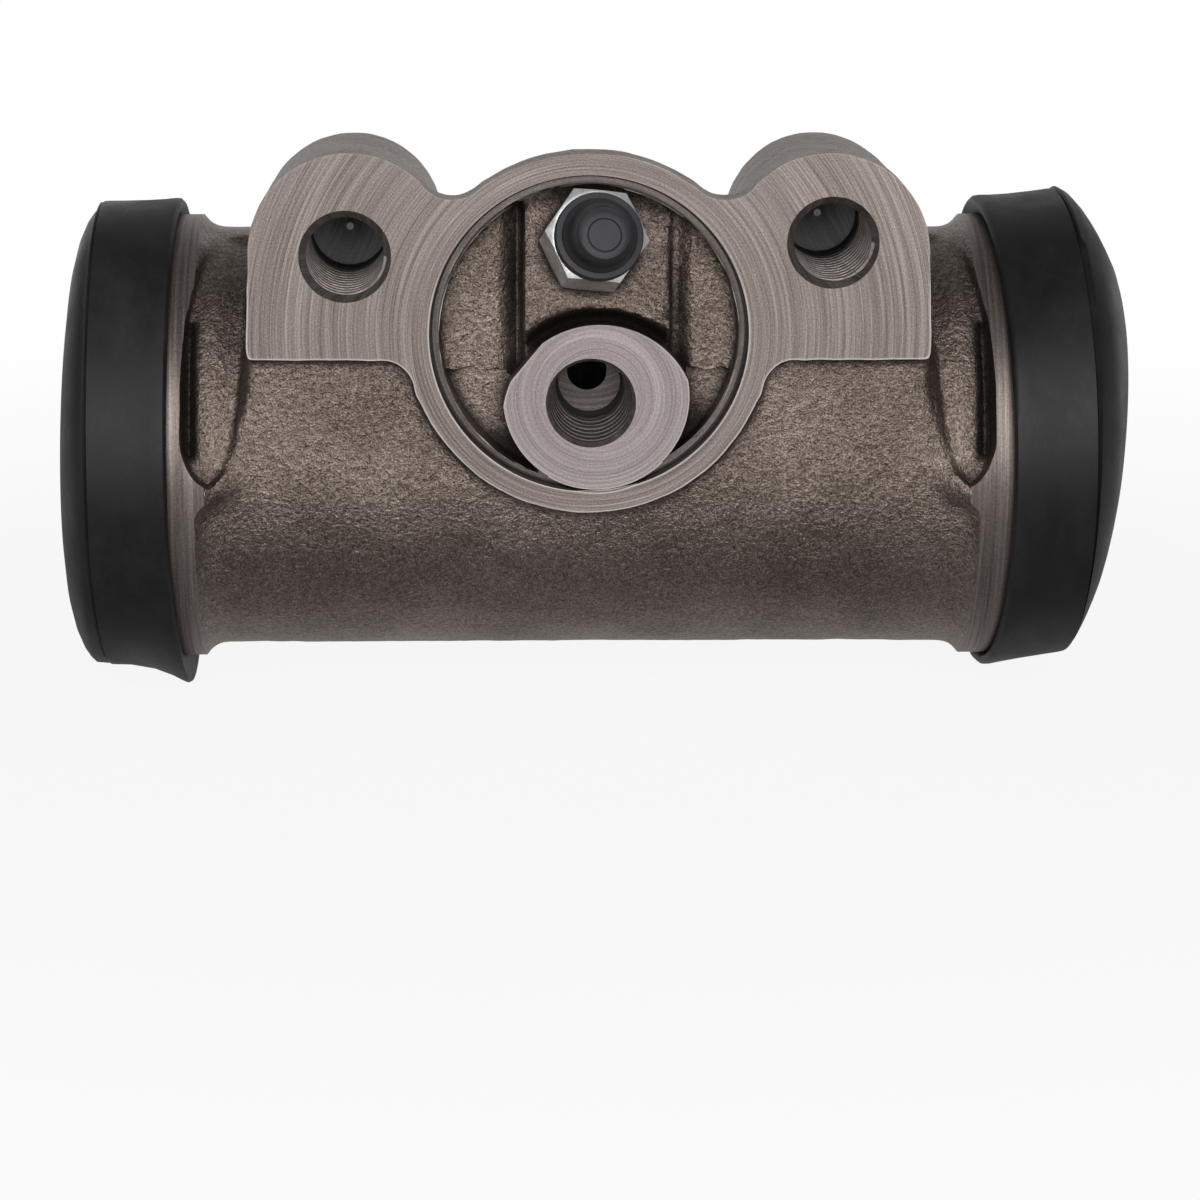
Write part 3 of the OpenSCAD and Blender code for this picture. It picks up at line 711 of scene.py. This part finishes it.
def left_set(frontness, upness, way, along, radius):
    low = max(0.0, -upness - 0.35) / 0.65
    step = (0.3 + 0.55 * frontness - 0.8 * low) * (1 - way)
    step += (0.3 * frontness - 0.6 * low) * way * (along < edge)
    if along > edge and radius > 9:
        step += 0.2 * frontness - 0.35 * upness
    flare = 2.3 * low ** 1.5 * max(0.0, 1 - 1.25 * way) ** 2
    slack = 0.45 * max(0.0, upness) * (1 - 0.4 * way) - 0.25 * low * way
    return step, (flare + slack) * (radius > 27.8) * (along < edge), 0.0


def right_set(frontness, upness, way, along, radius):
    yaw_step = (1.85 if frontness > 0 else 0.5) * frontness
    step = -0.4 + yaw_step - (0.35 + 0.1 * way) * upness
    lift = 0.35 + 1.35 * way ** 1.2
    if along > edge:
        outer = min(1.0, max(0.0, (radius - 8) / 18))
        run_out = (30 - radius) / 9 if upness > 0 else (29.6 - radius) / 3
        step = (yaw_step - 0.4) * outer ** 2 + 1.0 * upness * min(1.0, (radius - 6.5) / 8, run_out)
        lift *= min(1.0, max(0.3, (radius - 6) / 8))
    elif radius < 28:
        lift *= way
    return step, (0.35 - 0.2 * way) * (radius > 27.8) * (along < edge), lift


left_shoulder = [
    (28.85, 60.05), (28.5, 60.5), (28.0, 61.05), (27.0, 61.75), (25.2, 62.55), (22.6, 63.25), (19.0, 63.75),
    (15.0, 63.95), (10.5, 64.05), (7.8, 64.05)]
right_shoulder = [
    (29.2, 60.1), (28.8, 60.5), (28.2, 61.0), (27.3, 61.7), (26.0, 62.45), (24.7, 63.1), (22.9, 63.85),
    (21.0, 64.55), (19.0, 65.2), (17.0, 65.7), (14.5, 66.05), (12.0, 66.25), (9.0, 66.4), (7.8, 66.4)]
for side, name, shoulder, change in (
        (-1, "left_rubber_boot", left_shoulder, left_set),
        (1, "right_rubber_boot", right_shoulder, right_set)):
    piece = on_bore(boot(name, shoulder), side)
    settle(piece, side, change)
    give(piece, boot_rubber)
    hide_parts("left_boot" if side < 0 else "right_boot")
    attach(piece, "cylinder")

# Pistons
# Two pistons turned from alloy bar, with a socket in the outer end, that slide in the bore behind the boots.
# They only show through the boots' eyes, so the plain solids stay and get their finish here.
piston_alloy = machined(
    "turned piston alloy", (0.42, 0.42, 0.41), (0.56, 0.56, 0.55), (0.70, 0.70, 0.69), 2600, bore_axis,
    along_bore)
for node in ("left_piston", "right_piston"):
    give(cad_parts[node], piston_alloy)

# Cups
# Two moulded rubber cups that seal the fluid in, each pushed against the inner end of its piston.
# They lie out of sight in the bore.
cup_rubber = rubber("cup rubber", (0.014, 0.013, 0.013), (0.022, 0.021, 0.021), (0.036, 0.034, 0.034), 0.40)
for node in ("left_cup", "right_cup"):
    give(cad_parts[node], cup_rubber)

# Cup expanders
# Two dishes pressed from zinc plated sheet that hold the cups' lips to the bore and carry the spring.
# They lie out of sight in the bore.
pressed_sheet = machined(
    "pressed zinc sheet", (0.38, 0.38, 0.37), (0.52, 0.52, 0.50), (0.64, 0.64, 0.62), 900, bore_axis,
    along_bore)
for node in ("left_cup_expander", "right_cup_expander"):
    give(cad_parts[node], pressed_sheet)

# Return spring
# One coil spring of drawn wire between the two expanders, which keeps the cups against their pistons.
# It lies out of sight in the middle of the bore.
drawn_wire = machined(
    "drawn spring wire", (0.16, 0.155, 0.15), (0.25, 0.245, 0.24), (0.36, 0.355, 0.35), 700, bore_axis,
    along_bore)
give(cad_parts["return_spring"], drawn_wire)

# Bleeder screw
# A steel screw turned from hexagon bar, drilled up its middle and zinc plated.
# It closes on a cone at the bottom of its hole, and its nipple takes a hose.
hex_width, hex_height, hex_gap = 10.8, 6.6, 0.4
hex_top = hex_gap + hex_height
hex_turn = math.radians(-6.5)

plating, tree, shader = new_material("zinc plate")
place = place_on(tree, bleed_seat, bleed_place.to_euler())
cloud = noise(tree, place, 420, 3, 0.6)
scuff = noise(tree, place, 1800, 2, 0.6)
tarnish = mix_sum(tree, (cloud, 0.6), (scuff, 0.4))
colour = ramp(
    tree, tarnish, (0.36, (0.52, 0.53, 0.52)), (0.50, (0.74, 0.75, 0.75)), (0.66, (0.90, 0.91, 0.92)))
tree.links.new(colour, shader.inputs["Base Color"])
tree.links.new(fade(tree, tarnish, 0.35, 0.65, 0.46, 0.28), shader.inputs["Roughness"])
shader.inputs["Metallic"].default_value = 0.6
bump(tree, shader, scuff, 0.00003)

screw = bar((0, 0, hex_gap), (0, 0, hex_top), hex_width / math.sqrt(3), sides=6)
screw.data.transform(Matrix.Rotation(math.pi / 6 + hex_turn, 4, "Z"))
blank = spun([
    (0, hex_gap), (5.35, hex_gap), (6.4, hex_gap + 0.6), (6.4, hex_top - 0.62), (5.38, hex_top - 0.05),
    (5.2, hex_top), (4.95, hex_top), (4.85, hex_top - 0.12), (0, hex_top - 0.12)])
combine(screw, blank, "INTERSECT")
shank = spun([
    (0, -9.5), (1.6, -9.5), (4.2, -7.4), (4.68, -6.9), (4.68, hex_gap + 0.5), (2.2, hex_gap + 0.5),
    (2.2, hex_top + 0.6), (2.4, hex_top + 1.2), (2.4, hex_top + 3.4), (2.68, hex_top + 3.8),
    (2.68, hex_top + 4.4), (2.1, hex_top + 6.0), (1.8, hex_top + 6.2), (0, hex_top + 6.2)], 64)
combine(screw, shank, "UNION")
combine(screw, bar((0, 0, -4), (0, 0, hex_top + 8), 1.1, sides=40))
screw.name = "bleeder_hex_screw"
screw.data.transform(bleed_place)
give(screw, plating)
pick(screw)
bpy.ops.object.shade_smooth_by_angle(angle=math.radians(28))
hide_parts("bleeder_screw")
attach(screw, "bleeder")

# Bleeder cap
# A small moulded rubber cap that keeps dirt out of the nipple, pulled off by hand to bleed the cylinder.
# It has a flat brim, a waist and a crown with a ring round the gate mark.
cap_rubber = rubber("cap rubber", (0.034, 0.033, 0.036), (0.058, 0.056, 0.061), (0.088, 0.085, 0.091), 0.55)
cap = spun([
    (2.76, 0), (5.1, 0), (5.25, 0.2), (5.25, 1.35), (5.1, 1.6), (4.5, 1.75), (4.42, 1.62), (4.34, 1.78),
    (4.15, 2.1), (3.9, 2.6), (3.78, 3.4), (3.72, 4.6), (3.6, 5.4), (3.45, 6.0), (3.3, 6.25), (3.16, 6.35),
    (3.14, 6.7), (3.2, 7.1), (3.08, 7.55), (2.8, 7.88), (2.45, 8.0), (2.06, 8.0), (1.95, 7.84), (1.84, 7.98),
    (0, 8.02), (0, 6.5), (2.4, 6.5), (2.76, 6.2)], 96)
cap.name = "rubber_bleeder_cap"
for point in cap.data.vertices:
    droop = 0.02 * (point.co.z / mm) ** 2
    point.co += Vector((-0.25 * droop, -0.4 - droop, hex_top)) * mm
cap.data.transform(bleed_place)
give(cap, cap_rubber)
pick(cap)
bpy.ops.object.shade_smooth_by_angle(angle=math.radians(35))
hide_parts("bleeder_cap")
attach(cap, "cap")

# Floor, light and camera
# A pale table under the lowest lip, one soft box in front and above, and a long lens a little over the face.
table_z = -48.7
bpy.ops.object.select_all(action="DESELECT")
bpy.ops.mesh.primitive_plane_add(size=8, location=(0, 0, table_z * mm))
bpy.ops.object.transform_apply(location=True, rotation=True, scale=True)
table = bpy.context.object
table.name = "table"
paper, tree, shader = new_material("white paper")
shader.inputs["Roughness"].default_value = 0.9
glow = tree.nodes.new("ShaderNodeEmission")
share = tree.nodes.new("ShaderNodeMixShader")
rays = tree.nodes.new("ShaderNodeLightPath")
# Rays other than the camera's see the table as dark grey. To glossy rays it glows white behind the object and
# far off, and stays dark just in front: painted shade in what the object's lower sides reflect.
seen = calc(tree, "MULTIPLY_ADD", rays.outputs["Is Glossy Ray"], 0.2, rays.outputs["Is Camera Ray"])
colour = blend_colours(tree, seen, (0.14, 0.137, 0.134), (0.93, 0.93, 0.93))
tree.links.new(colour, shader.inputs["Base Color"])
here = place_on(tree)
away = tree.nodes.new("ShaderNodeVectorMath")
away.operation = "LENGTH"
tree.links.new(here, away.inputs[0])
parts = tree.nodes.new("ShaderNodeSeparateXYZ")
tree.links.new(here, parts.inputs[0])
whiter = fade(tree, away.outputs["Value"], 0.08, 0.35, 0.90, 1.0)
viewed = calc(tree, "MULTIPLY", rays.outputs["Is Camera Ray"], whiter)
behind = fade(tree, parts.outputs["Y"], -0.005, 0.02, 0.0, 0.5)
around = calc(tree, "MAXIMUM", behind, fade(tree, away.outputs["Value"], 0.10, 0.45, 0.06, 1.0))
mirrored = calc(tree, "MULTIPLY", rays.outputs["Is Glossy Ray"], around)
tree.links.new(calc(tree, "MAXIMUM", viewed, mirrored), share.inputs[0])
tree.links.new(shader.outputs[0], share.inputs[1])
tree.links.new(glow.outputs[0], share.inputs[2])
tree.links.new(share.outputs[0], tree.nodes["Material Output"].inputs[0])
give(table, paper)

world = bpy.data.worlds.new("studio")
bpy.context.scene.world = world
world.use_nodes = True
tree = world.node_tree
sky = tree.nodes["Background"]
sky.inputs["Color"].default_value = (1, 1, 1, 1)
rays = tree.nodes.new("ShaderNodeLightPath")
ways = tree.nodes.new("ShaderNodeTexCoord")
parts = tree.nodes.new("ShaderNodeSeparateXYZ")
tree.links.new(ways.outputs["Generated"], parts.inputs[0])
mirrored = calc(tree, "MAXIMUM", rays.outputs["Is Glossy Ray"], rays.outputs["Is Transmission Ray"])
backdrop = calc(tree, "MULTIPLY", mirrored, fade(tree, parts.outputs["Y"], 0.45, 0.95, 0.09, 0.8))
ambient = 0.09
strength = calc(tree, "MAXIMUM", calc(tree, "MAXIMUM", rays.outputs["Is Camera Ray"], backdrop), ambient)
tree.links.new(strength, sky.inputs["Strength"])

lamp_at, lamp_aim = Vector((0.0, -0.92, 0.30)), Vector((0, 0, -0.01))
lamp_width, lamp_height, lamp_watts = 0.95, 0.68, 9.0
lamp = bpy.data.lights.new("soft box", "AREA")
lamp.shape = "RECTANGLE"
lamp.size = lamp_width
lamp.size_y = lamp_height
lamp.energy = lamp_watts
stand = bpy.data.objects.new("soft box", lamp)
bpy.context.scene.collection.objects.link(stand)
stand.location = lamp_at
stand.rotation_euler = (lamp_aim - lamp_at).to_track_quat("-Z", "Y").to_euler()

lens_px, distance = 4520.0, 0.5376
origin_px, image_px = (589.1, 334.6), 1200
tilt, swing, roll = math.radians(13.0), math.radians(-1.67), math.radians(0.19)
back = Vector((math.sin(swing) * math.cos(tilt), -math.cos(swing) * math.cos(tilt), math.sin(tilt)))
right = Vector((math.cos(swing), math.sin(swing), 0))
up = back.cross(right)
right, up = right * math.cos(roll) + up * math.sin(roll), up * math.cos(roll) - right * math.sin(roll)
metres_per_px = distance / lens_px
off_centre = right * (image_px / 2 - origin_px[0]) + up * (origin_px[1] - image_px / 2)
eye = back * distance + off_centre * metres_per_px
camera = bpy.data.cameras.new("camera")
camera.sensor_width = 36
camera.lens = lens_px / image_px * camera.sensor_width
camera.clip_start = 0.01
viewer = bpy.data.objects.new("camera", camera)
bpy.context.scene.collection.objects.link(viewer)
viewer.matrix_world = Matrix((right, up, back)).transposed().to_4x4()
viewer.location = eye
bpy.context.scene.camera = viewer
bpy.context.scene.view_settings.view_transform = "Standard"
